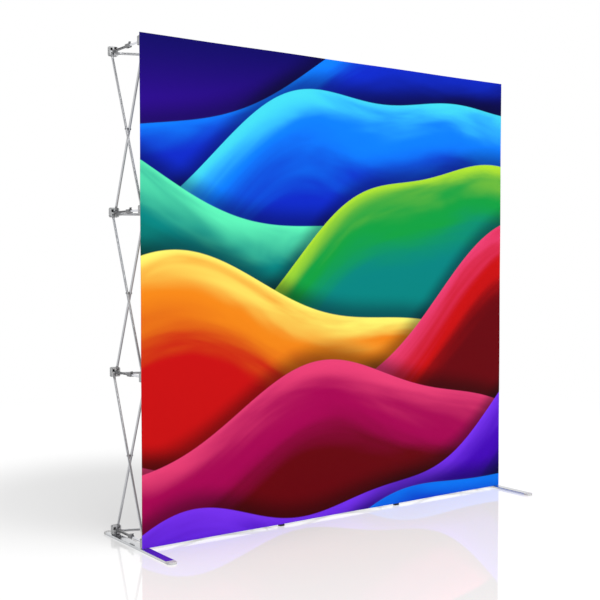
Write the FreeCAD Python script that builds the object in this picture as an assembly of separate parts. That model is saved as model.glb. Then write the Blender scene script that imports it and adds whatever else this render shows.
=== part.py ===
"""Pop-up display stand, erected and locked.

A square grid of hubs, one layer in front and one behind, is held open by crossed tubes:
one scissor pair on every bay edge, along the rows and up the columns. A lock arm joins
each front hub to the rear hub behind it. A printed fabric hangs on the front hubs by hook
and loop patches, and a flat foot carries each end column.

Millimetres. X runs along the width, Y from front to back and Z up. The origin is on the
floor, midway between the ends and at mid-length of the feet. The graphic faces -Y.
"""
import FreeCAD, Part
import math
import os

V = FreeCAD.Vector
X_AXIS = V(1, 0, 0)
Y_AXIS = V(0, 1, 0)
Z_AXIS = V(0, 0, 1)
ORIGIN = V(0, 0, 0)

# Grid of hubs
BAYS_WIDE = 3
BAYS_HIGH = 3
PITCH = 735.0               # hub axis to hub axis, along the rows and up the columns
FRAME_DEPTH = 310.3         # outer face of a front hub to outer face of the rear hub

# Hub moulding: a flange outside, four jaws inside, in a pinwheel round the axis
HUB_SIZE = 45.0
HUB_CORNER = 7.0
HUB_DEPTH = 22.0
FLANGE_THICK = 4.5
FLANGE_RIM = 1.5            # the flange stands out this far past the jaws
FLANGE_ROUND = 1.5
JAW_CHAMFER = 1.5
SLOT_WIDTH = 12.4
SLOT_LEAD_IN = 1.0          # bevel along the mouth of a slot
SLOT_OFFSET = 7.5           # middle of a slot from the hub axis, half the tubes' spacing
PIN_REACH = 13.0            # pin from the hub axis, along the slot
PIN_DEPTH = 13.0            # pin from the outer face of the flange
PIN_DIAMETER = 4.0
PIN_SEAT = 5.0              # length of pin held in the jaw on each side of the slot
SOCKET_DEPTH = 14.0         # central socket for the lock, from the jaws' faces
BLIND_WALL = 2.0            # wall that closes a slot where the frame ends

# Scissor tubes and their plastic eyes
TUBE_DIAMETER = 12.0
TUBE_WALL = 1.0
TUBE_SETBACK = 16.0         # pin to the end of the tube
EYE_RADIUS = 5.5
EYE_THICK = 11.4
EYE_COLLAR = 2.0
EYE_SPIGOT = 22.0
RIVET_DIAMETER = 5.0
RIVET_HEAD_DIAMETER = 10.0
RIVET_HEAD_RISE = 2.4

# Lock between a front hub and its rear hub
POST_DIAMETER = 10.0
POST_REACH = 120.0          # front hub's jaws to the latch's bearing wall
POST_NECK_DIAMETER = 6.0
POST_HEAD_DIAMETER = 10.0
POST_HEAD_LENGTH = 9.0
POST_HEAD_CHAMFER = 2.0
HINGE_STANDOFF = 9.0        # rear hub's jaws to the arm's hinge pin
HINGE_PIN_DIAMETER = 3.0
HINGE_PIN_PROUD = 0.5
EAR_RADIUS = 5.0
EAR_THICK = 3.0
BRACKET_BASE = 3.0
BRACKET_FLANGE = 17.0       # diameter of the bracket's flange on the jaws' faces
TONGUE_THICK = 6.0
TONGUE_LENGTH = 14.0
ARM_WIDTH = 9.0
ARM_HEIGHT = 10.0
ARM_ROUND = 2.0
ARM_WEB = 4.0               # left between the hollows in the arm's two sides
ARM_RIM = 2.2               # left round each hollow
ARM_CORES = 3               # hollows along each side
ARM_CORE_ROUND = 1.5
LATCH_LENGTH = 22.0         # bearing wall to the start of the taper
LATCH_TAPER = 8.0
LATCH_WALL = 8.0            # bearing wall of the latch, between the post's body and its head
LATCH_SIDE = 3.0            # side wall of the latch beside the post
LATCH_RISE = 8.5            # top of the latch above the arm's axis
LATCH_DROP = 8.5            # lower lip of the latch below the arm's axis
LATCH_ROUND = 2.0
CHEEK_REACH = 14.0          # cheeks beside the post, in front of the bearing wall
CHEEK_TIP = 4.0             # height of a cheek at its tip
ROOF_REACH = 6.0            # roof over the post, in front of the bearing wall
TAB_RISE = 8.0
TAB_LEAN = 7.0
TAB_THICK = 3.5
TAB_WIDTH = 10.0
TAB_RIBS = 3
TAB_RIB_RADIUS = 0.6

# Graphic and its patches
GRAPHIC_FRONT = -67.0       # front of the fabric, from mid-length of the feet
GRAPHIC_THICK = 1.2
GRAPHIC_FOOT_GAP = 1.0      # fabric above the feet
GRAPHIC_TOP_MARGIN = 10.0   # fabric above the top hubs
GRAPHIC_SIDE_MARGIN = 0.0   # fabric past the end hubs
PATCH_SIZE = 38.0
PATCH_CORNER = 6.0
LOOP_THICK = 1.0
HOOK_THICK = 1.5

# Feet
FOOT_LENGTH = 648.0
FOOT_WIDTH = 44.0
FOOT_THICK = 10.0
FOOT_PROUD = 5.0            # foot past the side of the fabric
FOOT_WALL = 1.6
FOOT_ROUND = 3.0
FOOT_CELLS = 3
CAP_LENGTH = 34.0
CAP_CORNER = 20.0
CAP_SPIGOT = 14.0
PEG_HOLE_DIAMETER = 6.0
PEG_HOLE_BEHIND = 49.0      # peg hole behind the front of the fabric
SCREW_DIAMETER = 4.0
SCREW_HEAD_DIAMETER = 7.5
SCREW_HEAD_THICK = 2.4
SCREW_GRIP = 5.5            # length of screw in the tongue
SCREW_ACCESS = 9.0
GROUND_PAD_SIZE = 28.0
GROUND_PAD_CORNER = 5.0

# Clearances
PIN_CLEARANCE = 0.05        # radial, pins, rivets and screws in their holes
SPIGOT_CLEARANCE = 0.1      # radial, eye in tube, cap in foot and lock in socket
SLOT_CLEARANCE = 0.8        # eye to the inner end and the floor of its slot
HINGE_CLEARANCE = 0.3       # arm's tongue to each ear
LATCH_CLEARANCE = 0.7       # post to the latch, all round

# Places that follow from the sizes above
FRONT_FACE = GRAPHIC_FRONT + GRAPHIC_THICK + LOOP_THICK + HOOK_THICK
REAR_FACE = FRONT_FACE + FRAME_DEPTH
FRONT_PIN = FRONT_FACE + PIN_DEPTH
REAR_PIN = REAR_FACE - PIN_DEPTH
FRONT_JAWS = FRONT_FACE + HUB_DEPTH
REAR_JAWS = REAR_FACE - HUB_DEPTH
COLUMN_X = [PITCH * (i - BAYS_WIDE / 2) for i in range(BAYS_WIDE + 1)]
ROW_Z = [FOOT_THICK + HUB_SIZE / 2 + PITCH * j for j in range(BAYS_HIGH + 1)]
TUBE_RADIUS = TUBE_DIAMETER / 2
LINK = math.hypot(PITCH - 2 * PIN_REACH, REAR_PIN - FRONT_PIN)   # pin to pin
LATCH_Y = FRONT_JAWS + POST_REACH
HINGE_Y = REAR_JAWS - HINGE_STANDOFF
ARM_LENGTH = HINGE_Y - LATCH_Y
GRAPHIC_WIDTH = BAYS_WIDE * PITCH + HUB_SIZE + 2 * GRAPHIC_SIDE_MARGIN
GRAPHIC_TOP = ROW_Z[-1] + HUB_SIZE / 2 + GRAPHIC_TOP_MARGIN


def block(low, high):
    """Box between two opposite corners."""
    return Part.makeBox(high.x - low.x, high.y - low.y, high.z - low.z, low)


def rod(radius, start, end):
    """Cylinder between two points."""
    return Part.makeCylinder(radius, (end - start).Length, start, end - start)


def rounded_block(low, high, radius, direction):
    """Box whose edges along one direction are rounded."""
    box = block(low, high)
    edges = [e for e in box.Edges if abs(e.tangentAt(e.FirstParameter).dot(direction)) > 0.9]
    return box.makeFillet(radius, edges)


def edges_on_plane(shape, direction, distance):
    """Edges that lie wholly on the plane at a distance along a direction."""
    return [e for e in shape.Edges
            if all(abs(v.Point.dot(direction) - distance) < 1e-6 for v in e.Vertexes)]


def end_outline(shape, distance):
    """Outline of the flat end of a piece, square to Y."""
    for face in shape.Faces:
        if all(abs(v.Y - distance) < 1e-6 for v in face.Vertexes):
            return face.OuterWire


def extruded(points, direction):
    """Solid swept from a closed polygon along a direction."""
    wire = Part.makePolygon(points + points[:1])
    return Part.Face(wire).extrude(direction)


def set_along(shape, origin, along, pin_axis):
    """Copy of a piece made along +X with its pins along +Z, set at an origin."""
    side = pin_axis.cross(along)
    matrix = FreeCAD.Matrix(
        along.x, side.x, pin_axis.x, origin.x,
        along.y, side.y, pin_axis.y, origin.y,
        along.z, side.z, pin_axis.z, origin.z,
        0, 0, 0, 1)
    copy = shape.copy()
    copy.Placement = FreeCAD.Placement(matrix)
    return copy


def hub_slot(end):
    """Room for a tube's eye, along +X to its end, with a bevelled mouth in the jaws' faces."""
    start = PIN_REACH - EYE_RADIUS - SLOT_CLEARANCE
    floor = PIN_DEPTH - EYE_RADIUS - SLOT_CLEARANCE
    low = SLOT_OFFSET - SLOT_WIDTH / 2
    high = SLOT_OFFSET + SLOT_WIDTH / 2
    bevel = HUB_DEPTH - SLOT_LEAD_IN
    mouth = HUB_DEPTH + SLOT_LEAD_IN
    section = [V(start, floor, low), V(start, bevel, low), V(start, mouth, low - 2 * SLOT_LEAD_IN),
               V(start, mouth, high + 2 * SLOT_LEAD_IN), V(start, bevel, high), V(start, floor, high)]
    return extruded(section, X_AXIS * (end - start))


def make_hub(open_sides):
    """Front hub on the Y axis with its outer face at y = 0 and its jaws towards +Y.

    Open sides tell for +X, +Z, -X and -Z whether a piece enters there. A wall closes the other slots.
    """
    half = HUB_SIZE / 2
    flange = rounded_block(V(-half, 0, -half), V(half, FLANGE_THICK, half), HUB_CORNER, Y_AXIS)
    flange = flange.makeFillet(FLANGE_ROUND, edges_on_plane(flange, Y_AXIS, 0))
    jaw = half - FLANGE_RIM
    jaws = rounded_block(V(-jaw, FLANGE_THICK, -jaw), V(jaw, HUB_DEPTH, jaw),
                         HUB_CORNER - FLANGE_RIM, Y_AXIS)
    jaws = jaws.makeChamfer(JAW_CHAMFER, edges_on_plane(jaws, Y_AXIS, HUB_DEPTH))
    hub = flange.fuse(jaws)

    bore_start = SLOT_OFFSET - SLOT_WIDTH / 2 - PIN_SEAT - SPIGOT_CLEARANCE
    bore = rod(PIN_DIAMETER / 2 + PIN_CLEARANCE,
               V(PIN_REACH, PIN_DEPTH, bore_start), V(PIN_REACH, PIN_DEPTH, HUB_SIZE))
    blind_slot = hub_slot(jaw - BLIND_WALL)
    through_slot = hub_slot(HUB_SIZE)
    cuts = []
    for quarter, is_open in enumerate(open_sides):
        for cut in [through_slot, bore] if is_open else [blind_slot]:
            cuts.append(cut.rotated(ORIGIN, Y_AXIS, -90 * quarter))
    cuts.append(rod(POST_DIAMETER / 2 + SPIGOT_CLEARANCE,
                    V(0, HUB_DEPTH - SOCKET_DEPTH, 0), V(0, HUB_DEPTH + HUB_SIZE, 0)))
    return hub.cut(cuts)


def make_tube():
    """Scissor tube along +X from its first pin, drilled for the rivet along Z."""
    start = V(TUBE_SETBACK, 0, 0)
    end = V(LINK - TUBE_SETBACK, 0, 0)
    tube = rod(TUBE_RADIUS, start, end).cut(rod(TUBE_RADIUS - TUBE_WALL, start, end))
    middle = V(LINK / 2, 0, 0)
    return tube.cut(rod(RIVET_DIAMETER / 2 + PIN_CLEARANCE,
                        middle - Z_AXIS * TUBE_DIAMETER, middle + Z_AXIS * TUBE_DIAMETER))


def make_eye(length):
    """Eye along +X, round as a tube, with flat cheeks, and its pin hole along Z at the origin."""
    blade = block(V(0, -EYE_RADIUS, -EYE_THICK / 2), V(length, EYE_RADIUS, EYE_THICK / 2))
    nose = rod(EYE_RADIUS, V(0, 0, -EYE_THICK / 2), V(0, 0, EYE_THICK / 2))
    hole = rod(PIN_DIAMETER / 2 + PIN_CLEARANCE, V(0, 0, -EYE_THICK), V(0, 0, EYE_THICK))
    girth = rod(TUBE_RADIUS, V(-TUBE_DIAMETER, 0, 0), V(length, 0, 0))
    return blade.fuse(nose).removeSplitter().common(girth).cut(hole)


def make_tube_end():
    """Plastic eye that plugs the end of a tube."""
    collar_start = TUBE_SETBACK - EYE_COLLAR
    collar = rod(TUBE_RADIUS, V(collar_start, 0, 0), V(TUBE_SETBACK, 0, 0))
    spigot = rod(TUBE_RADIUS - TUBE_WALL - SPIGOT_CLEARANCE,
                 V(TUBE_SETBACK, 0, 0), V(TUBE_SETBACK + EYE_SPIGOT, 0, 0))
    return make_eye(collar_start).fuse([collar, spigot])


def make_hub_pin():
    """Pin along Z through an eye and the jaws beside it."""
    half = SLOT_WIDTH / 2 + PIN_SEAT
    return rod(PIN_DIAMETER / 2, V(0, 0, -half), V(0, 0, half))


def make_rivet():
    """Rivet along Z through two crossed tubes, with a domed head at each end."""
    seat = SLOT_OFFSET + TUBE_RADIUS
    radius = RIVET_HEAD_DIAMETER / 2
    shank = rod(RIVET_DIAMETER / 2, V(0, 0, -seat), V(0, 0, seat))
    rim = V(radius, 0, seat)
    crown = V(0, 0, seat + RIVET_HEAD_RISE)
    dome_radius = (radius ** 2 + RIVET_HEAD_RISE ** 2) / (2 * RIVET_HEAD_RISE)
    centre = seat + RIVET_HEAD_RISE - dome_radius
    half_turn = math.asin(radius / dome_radius) / 2
    between = V(dome_radius * math.sin(half_turn), 0, centre + dome_radius * math.cos(half_turn))
    outline = Part.Wire([Part.LineSegment(V(0, 0, seat), rim).toShape(),
                         Part.Arc(rim, between, crown).toShape(),
                         Part.LineSegment(crown, V(0, 0, seat)).toShape()])
    head = Part.Face(outline).revolve(ORIGIN, Z_AXIS, 360)
    return shank.fuse([head, head.rotated(ORIGIN, X_AXIS, 180)])


def make_rivet_spacer():
    """Washer along Z that keeps two crossed tubes apart."""
    half = SLOT_OFFSET - TUBE_RADIUS
    washer = rod(RIVET_HEAD_DIAMETER / 2, V(0, 0, -half), V(0, 0, half))
    return washer.cut(rod(RIVET_DIAMETER / 2 + PIN_CLEARANCE, V(0, 0, -half), V(0, 0, half)))


def make_lock_post():
    """Turned post of a front hub, with a neck and a head for the latch, on the Y axis."""
    seat = FRONT_JAWS - SOCKET_DEPTH + SPIGOT_CLEARANCE
    neck_start = LATCH_Y - LATCH_CLEARANCE
    neck_end = LATCH_Y + LATCH_WALL + LATCH_CLEARANCE
    tip = neck_end + POST_HEAD_LENGTH
    post = POST_DIAMETER / 2
    neck = POST_NECK_DIAMETER / 2
    head = POST_HEAD_DIAMETER / 2
    outline = [V(0, seat, 0), V(post, seat, 0), V(post, neck_start, 0), V(neck, neck_start, 0),
               V(neck, neck_end, 0), V(head, neck_end, 0), V(head, tip - POST_HEAD_CHAMFER, 0),
               V(head - POST_HEAD_CHAMFER, tip, 0), V(0, tip, 0)]
    face = Part.Face(Part.makePolygon(outline + outline[:1]))
    return face.revolve(ORIGIN, Y_AXIS, 360)


def make_lock_bracket():
    """Forked bracket in a rear hub's socket, with the hinge at the origin."""
    inner = TONGUE_THICK / 2 + HINGE_CLEARANCE
    outer = inner + EAR_THICK
    base_front = HINGE_STANDOFF - BRACKET_BASE
    stub = rod(POST_DIAMETER / 2, V(0, HINGE_STANDOFF, 0),
               V(0, HINGE_STANDOFF + SOCKET_DEPTH - SPIGOT_CLEARANCE, 0))
    flange = rod(BRACKET_FLANGE / 2, V(0, base_front, 0), V(0, HINGE_STANDOFF, 0))
    pieces = [stub]
    for low, high in ((-outer, -inner), (inner, outer)):
        pieces.append(block(V(low, 0, -EAR_RADIUS), V(high, base_front, EAR_RADIUS)))
        pieces.append(rod(EAR_RADIUS, V(low, 0, 0), V(high, 0, 0)))
    hole = rod(HINGE_PIN_DIAMETER / 2 + PIN_CLEARANCE, V(-outer, 0, 0), V(outer, 0, 0))
    return flange.fuse(pieces).removeSplitter().cut(hole)


def make_hinge_pin():
    """Pin of a lock arm, along X through both ears."""
    half = TONGUE_THICK / 2 + HINGE_CLEARANCE + EAR_THICK + HINGE_PIN_PROUD
    return rod(HINGE_PIN_DIAMETER / 2, V(-half, 0, 0), V(half, 0, 0))


def saddle(diameter, start, end):
    """Room for a round stretch of the post: round above it and open below."""
    half = diameter / 2 + LATCH_CLEARANCE
    below = block(V(-half, start, -2 * LATCH_DROP), V(half, end, 0))
    return below.fuse(rod(half, V(0, start, 0), V(0, end, 0)))


def latch_pocket():
    """Room for the post's body, neck and head, open at the latch's underside."""
    wall_start = -ARM_LENGTH
    wall_end = wall_start + LATCH_WALL
    return [saddle(POST_DIAMETER, wall_start - 2 * CHEEK_REACH, wall_start),
            saddle(POST_NECK_DIAMETER, wall_start, wall_end),
            saddle(POST_HEAD_DIAMETER, wall_end, wall_end + 2 * LATCH_CLEARANCE + POST_HEAD_LENGTH)]


def make_latch():
    """Solid body of the latch, with cheeks that slope down to their tips in front."""
    half = POST_HEAD_DIAMETER / 2 + LATCH_CLEARANCE + LATCH_SIDE
    tip = -ARM_LENGTH - CHEEK_REACH
    roof = -ARM_LENGTH - ROOF_REACH
    body = rounded_block(V(-half, tip, -LATCH_DROP), V(half, -ARM_LENGTH + LATCH_LENGTH, LATCH_RISE),
                         LATCH_ROUND, Y_AXIS)
    tip_top = CHEEK_TIP - LATCH_DROP
    slope = extruded([V(-half, tip, tip_top), V(-half, roof, LATCH_RISE), V(-half, roof, 2 * LATCH_RISE),
                      V(-half, tip - CHEEK_TIP, 2 * LATCH_RISE), V(-half, tip - CHEEK_TIP, tip_top)],
                     X_AXIS * 2 * half)
    return body.cut(slope)


def make_thumb_tab():
    """Tab that leans forward from the latch's roof, with grip ribs on its front."""
    left = -TAB_WIDTH / 2
    foot = -ARM_LENGTH - ROOF_REACH
    root = LATCH_RISE - LATCH_SIDE / 2
    top = LATCH_RISE + TAB_RISE
    tab = extruded([V(left, foot, root), V(left, foot + TAB_THICK, root),
                    V(left, foot + TAB_THICK - TAB_LEAN, top), V(left, foot - TAB_LEAN, top)],
                   X_AXIS * TAB_WIDTH)
    ribs = []
    for n in range(TAB_RIBS):
        share = (n + 1.5) / (TAB_RIBS + 1)
        middle = V(0, foot - TAB_LEAN * share, root + (top - root) * share)
        reach = X_AXIS * (TAB_WIDTH / 2 - TAB_RIB_RADIUS)
        ribs.append(rod(TAB_RIB_RADIUS, middle - reach, middle + reach))
    return tab.fuse(ribs)


def arm_cores(start, end):
    """Hollows in both sides of the arm's bar, with a rib between each two."""
    pitch = (end - start - ARM_RIM) / ARM_CORES
    height = ARM_HEIGHT / 2 - ARM_RIM
    cores = []
    for n in range(ARM_CORES):
        low = start + ARM_RIM + n * pitch
        high = low + pitch - ARM_RIM
        for inner, outer in ((-ARM_WIDTH, -ARM_WEB / 2), (ARM_WEB / 2, ARM_WIDTH)):
            cores.append(rounded_block(V(inner, low, -height), V(outer, high, height),
                                       ARM_CORE_ROUND, X_AXIS))
    return cores


def make_lock_arm():
    """Arm from its hinge at the origin to the latch that drops over the post, one moulding."""
    hinge_half = TONGUE_THICK / 2
    arm_half = ARM_WIDTH / 2
    rise = ARM_HEIGHT / 2
    latch_end = -ARM_LENGTH + LATCH_LENGTH
    bar_start = latch_end + LATCH_TAPER
    bar = rounded_block(V(-arm_half, bar_start, -rise), V(arm_half, -TONGUE_LENGTH, rise),
                        ARM_ROUND, Y_AXIS)
    tongue = block(V(-hinge_half, -TONGUE_LENGTH, -EAR_RADIUS), V(hinge_half, 0, EAR_RADIUS))
    eye = rod(EAR_RADIUS, V(-hinge_half, 0, 0), V(hinge_half, 0, 0))
    latch = make_latch()
    taper = Part.makeLoft([end_outline(latch, latch_end), end_outline(bar, bar_start)], True, True)
    arm = bar.fuse([tongue, eye, taper, latch, make_thumb_tab()]).removeSplitter()
    hole = rod(HINGE_PIN_DIAMETER / 2 + PIN_CLEARANCE, V(-ARM_WIDTH, 0, 0), V(ARM_WIDTH, 0, 0))
    return arm.cut(latch_pocket() + arm_cores(bar_start, -TONGUE_LENGTH) + [hole])


def make_patch(front, thick):
    """Square patch of tape on a hub, square to Y."""
    half = PATCH_SIZE / 2
    return rounded_block(V(-half, front, -half), V(half, front + thick, half), PATCH_CORNER, Y_AXIS)


def make_graphic():
    """The printed fabric, stretched flat."""
    return block(V(-GRAPHIC_WIDTH / 2, GRAPHIC_FRONT, FOOT_THICK + GRAPHIC_FOOT_GAP),
                 V(GRAPHIC_WIDTH / 2, GRAPHIC_FRONT + GRAPHIC_THICK, GRAPHIC_TOP))


def foot_cells(start, end, clearance):
    """Hollows of the foot's extrusion, or the spigots that fill them less a clearance."""
    cell = (FOOT_WIDTH - (FOOT_CELLS + 1) * FOOT_WALL) / FOOT_CELLS
    cells = []
    for n in range(FOOT_CELLS):
        left = -FOOT_WIDTH / 2 + FOOT_WALL + n * (cell + FOOT_WALL)
        cells.append(block(V(left + clearance, start, FOOT_WALL + clearance),
                           V(left + cell - clearance, end, FOOT_THICK - FOOT_WALL - clearance)))
    return cells


def tongue_places(column_x):
    """Pin points of a bottom front hub and a bottom rear hub, in their empty lower slots."""
    pin_z = ROW_Z[0] - PIN_REACH
    return [V(column_x + SLOT_OFFSET, FRONT_PIN, pin_z), V(column_x - SLOT_OFFSET, REAR_PIN, pin_z)]


def make_foot(column_x, foot_x):
    """Hollow flat bar of one foot, drilled for the tongues' screws and the peg hole."""
    half = FOOT_WIDTH / 2
    start = -FOOT_LENGTH / 2 + CAP_LENGTH
    end = FOOT_LENGTH / 2 - CAP_LENGTH
    bar = block(V(-half, start, 0), V(half, end, FOOT_THICK))
    rims = [e for e in edges_on_plane(bar, Z_AXIS, FOOT_THICK)
            if abs(e.Vertexes[0].X - e.Vertexes[1].X) < 1e-6]
    bar = bar.makeFillet(FOOT_ROUND, rims).cut(foot_cells(start, end, 0))
    bar = bar.translated(V(foot_x, 0, 0))
    top_wall = FOOT_THICK - FOOT_WALL
    holes = []
    for place in tongue_places(column_x):
        foot = V(place.x, place.y, 0)
        holes.append(rod(SCREW_ACCESS / 2, foot - Z_AXIS * FOOT_WALL, foot + Z_AXIS * 2 * FOOT_WALL))
        holes.append(rod(SCREW_DIAMETER / 2 + PIN_CLEARANCE,
                         foot + Z_AXIS * (top_wall - FOOT_WALL), foot + Z_AXIS * 2 * FOOT_THICK))
    peg = V(foot_x, GRAPHIC_FRONT + PEG_HOLE_BEHIND, 0)
    holes.append(rod(PEG_HOLE_DIAMETER / 2,
                     peg + Z_AXIS * (top_wall - FOOT_WALL), peg + Z_AXIS * 2 * FOOT_THICK))
    return bar.cut(holes)


def make_foot_cap():
    """Rounded end cap for the front of a foot, with spigots in the bar's hollows."""
    half = FOOT_WIDTH / 2
    tip = -FOOT_LENGTH / 2
    seam = tip + CAP_LENGTH
    body = block(V(-half, tip, 0), V(half, seam, FOOT_THICK))
    corners = [e for e in body.Edges
               if all(abs(v.Y - tip) < 1e-6 for v in e.Vertexes)
               and abs(e.Vertexes[0].X - e.Vertexes[1].X) < 1e-6]
    body = body.makeFillet(CAP_CORNER, corners)
    rim = [e for e in edges_on_plane(body, Z_AXIS, FOOT_THICK)
           if not all(abs(v.Y - seam) < 1e-6 for v in e.Vertexes)]
    body = body.makeFillet(FOOT_ROUND, rim)
    return body.fuse(foot_cells(seam, seam + CAP_SPIGOT, SPIGOT_CLEARANCE))


def make_tongue():
    """Upright eye in a hub's empty lower slot, with its pin hole along X at the origin."""
    return set_along(make_eye(ROW_Z[0] - PIN_REACH - FOOT_THICK), ORIGIN, -Z_AXIS, X_AXIS)


def make_foot_tongue():
    """Tongue that stands on a foot, drilled from below for its screw."""
    seat = FOOT_THICK - ROW_Z[0] + PIN_REACH
    return make_tongue().cut(rod(SCREW_DIAMETER / 2 + PIN_CLEARANCE,
                                 V(0, 0, seat), V(0, 0, seat + SCREW_GRIP)))


def make_screw():
    """Screw up into a tongue from under the foot's top wall, with the floor at z = 0."""
    top_wall = FOOT_THICK - FOOT_WALL
    head = rod(SCREW_HEAD_DIAMETER / 2, V(0, 0, top_wall - SCREW_HEAD_THICK), V(0, 0, top_wall))
    shank_end = FOOT_THICK + SCREW_GRIP - SPIGOT_CLEARANCE
    return head.fuse(rod(SCREW_DIAMETER / 2, V(0, 0, top_wall), V(0, 0, shank_end)))


def make_ground_pad():
    """Rubber pad under an inner bottom front hub, with a tongue in the hub's empty slot."""
    floor = PIN_REACH - ROW_Z[0]
    half = GROUND_PAD_SIZE / 2
    pad = rounded_block(V(-SLOT_OFFSET - half, -PIN_DEPTH, floor),
                        V(-SLOT_OFFSET + half, HUB_DEPTH - PIN_DEPTH, floor + FOOT_THICK),
                        GROUND_PAD_CORNER, Z_AXIS)
    return pad.fuse(make_tongue())


def row_scissors():
    """Row number and the two tubes of every scissor pair along the rows, pin to pin."""
    for j, z in enumerate(ROW_Z):
        for i in range(BAYS_WIDE):
            left = COLUMN_X[i] + PIN_REACH
            right = COLUMN_X[i + 1] - PIN_REACH
            upper = z + SLOT_OFFSET
            lower = z - SLOT_OFFSET
            yield j, [(V(left, FRONT_PIN, upper), V(right, REAR_PIN, upper)),
                      (V(left, REAR_PIN, lower), V(right, FRONT_PIN, lower))]


def column_scissors():
    """Column number and the two tubes of every scissor pair up the columns, pin to pin."""
    for i, x in enumerate(COLUMN_X):
        for j in range(BAYS_HIGH):
            low = ROW_Z[j] + PIN_REACH
            high = ROW_Z[j + 1] - PIN_REACH
            left = x - SLOT_OFFSET
            right = x + SLOT_OFFSET
            yield i, [(V(left, FRONT_PIN, low), V(left, REAR_PIN, high)),
                      (V(right, REAR_PIN, low), V(right, FRONT_PIN, high))]


class Stand:
    """The solids of the whole stand, by node."""

    def __init__(self):
        self.nodes = {}
        self.hub_pin = make_hub_pin()

    def add(self, name, solid):
        """Put a solid in the node of that name."""
        self.nodes.setdefault(name, []).append(solid)

    def add_hub_pin(self, place, along, pin_axis):
        """Put a hub pin in the front or the rear group."""
        layer = "front" if place.y < (FRONT_PIN + REAR_PIN) / 2 else "rear"
        self.add(f"{layer}_hub_pins", set_along(self.hub_pin, place, along, pin_axis))

    def add_hubs(self):
        """Front and rear hubs, one group for each column and layer."""
        for i, x in enumerate(COLUMN_X):
            left = i > 0
            right = i < BAYS_WIDE
            for j, z in enumerate(ROW_Z):
                up = j < BAYS_HIGH
                front = make_hub((right, up, left, True))
                rear = make_hub((left, up, right, True)).rotated(ORIGIN, Z_AXIS, 180)
                self.add(f"front_hubs_column_{i + 1}", front.translated(V(x, FRONT_FACE, z)))
                self.add(f"rear_hubs_column_{i + 1}", rear.translated(V(x, REAR_FACE, z)))

    def add_scissors(self, family, pairs, pin_axis):
        """Tubes with their eyes and pins, and the rivet and spacer at each crossing."""
        tube = make_tube()
        tube_end = make_tube_end()
        rivet = make_rivet()
        spacer = make_rivet_spacer()
        for number, tubes in pairs:
            for start, end in tubes:
                along = (end - start).normalize()
                self.add(f"{family}_{number + 1}_tubes", set_along(tube, start, along, pin_axis))
                self.add(f"{family}_tube_ends", set_along(tube_end, start, along, pin_axis))
                self.add(f"{family}_tube_ends", set_along(tube_end, end, -along, pin_axis))
                self.add_hub_pin(start, along, pin_axis)
                self.add_hub_pin(end, along, pin_axis)
            crossing = (tubes[0][0] + tubes[0][1] + tubes[1][0] + tubes[1][1]) * 0.25
            self.add(f"{family}_rivets", set_along(rivet, crossing, Y_AXIS, pin_axis))
            self.add(f"{family}_rivet_spacers", set_along(spacer, crossing, Y_AXIS, pin_axis))

    def add_locks(self):
        """Post, bracket, hinge pin and arm between each front hub and its rear hub."""
        post = make_lock_post()
        bracket = make_lock_bracket()
        hinge_pin = make_hinge_pin()
        arm = make_lock_arm()
        for i, x in enumerate(COLUMN_X):
            for j, z in enumerate(ROW_Z):
                hinge = V(x, HINGE_Y, z)
                self.add("lock_posts", post.translated(V(x, 0, z)))
                self.add("lock_brackets", bracket.translated(hinge))
                self.add("lock_hinge_pins", hinge_pin.translated(hinge))
                self.add(f"lock_arm_column_{i + 1}_row_{j + 1}", arm.translated(hinge))

    def add_graphic(self):
        """The fabric, with a loop patch on its back and a hook patch on each front hub."""
        self.add("fabric_graphic", make_graphic())
        loop = make_patch(GRAPHIC_FRONT + GRAPHIC_THICK, LOOP_THICK)
        hook = make_patch(FRONT_FACE - HOOK_THICK, HOOK_THICK)
        for x in COLUMN_X:
            for z in ROW_Z:
                self.add("loop_patches", loop.translated(V(x, 0, z)))
                self.add("hook_patches", hook.translated(V(x, 0, z)))

    def add_foot(self, side, column_x, foot_x):
        """One foot with its caps, and the screwed tongues that hold it to the hubs."""
        self.add(f"{side}_foot_bar", make_foot(column_x, foot_x))
        cap = make_foot_cap()
        self.add(f"{side}_foot_caps", cap.translated(V(foot_x, 0, 0)))
        self.add(f"{side}_foot_caps", cap.rotated(ORIGIN, Z_AXIS, 180).translated(V(foot_x, 0, 0)))
        tongue = make_foot_tongue()
        screw = make_screw()
        for place in tongue_places(column_x):
            self.add(f"{side}_foot_tongues", tongue.translated(place))
            self.add(f"{side}_foot_screws", screw.translated(V(place.x, place.y, 0)))
            self.add_hub_pin(place, Z_AXIS, X_AXIS)

    def add_ground_pads(self):
        """Pads under the bottom hubs that stand on no foot."""
        front_pad = make_ground_pad()
        rear_pad = front_pad.rotated(ORIGIN, Z_AXIS, 180)
        for x in COLUMN_X[1:-1]:
            front, rear = tongue_places(x)
            self.add("hub_ground_pads", front_pad.translated(front))
            self.add("hub_ground_pads", rear_pad.translated(rear))
            self.add_hub_pin(front, Z_AXIS, X_AXIS)
            self.add_hub_pin(rear, Z_AXIS, X_AXIS)


def main():
    stand = Stand()
    stand.add_hubs()
    stand.add_scissors("row", row_scissors(), Z_AXIS)
    stand.add_scissors("column", column_scissors(), X_AXIS)
    stand.add_locks()
    stand.add_graphic()
    foot_reach = (GRAPHIC_WIDTH - FOOT_WIDTH) / 2 + FOOT_PROUD
    stand.add_foot("left", COLUMN_X[0], -foot_reach)
    stand.add_foot("right", COLUMN_X[-1], foot_reach)
    stand.add_ground_pads()

    os.makedirs("parts", exist_ok=True)
    for name, solids in stand.nodes.items():
        shape = solids[0] if len(solids) == 1 else Part.makeCompound(solids)
        shape.exportStep(f"parts/{name}.step")
    print(f"{len(stand.nodes)} nodes, tube pin to pin {LINK:.1f} mm, lock arm {ARM_LENGTH:.1f} mm")


main()
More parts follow.
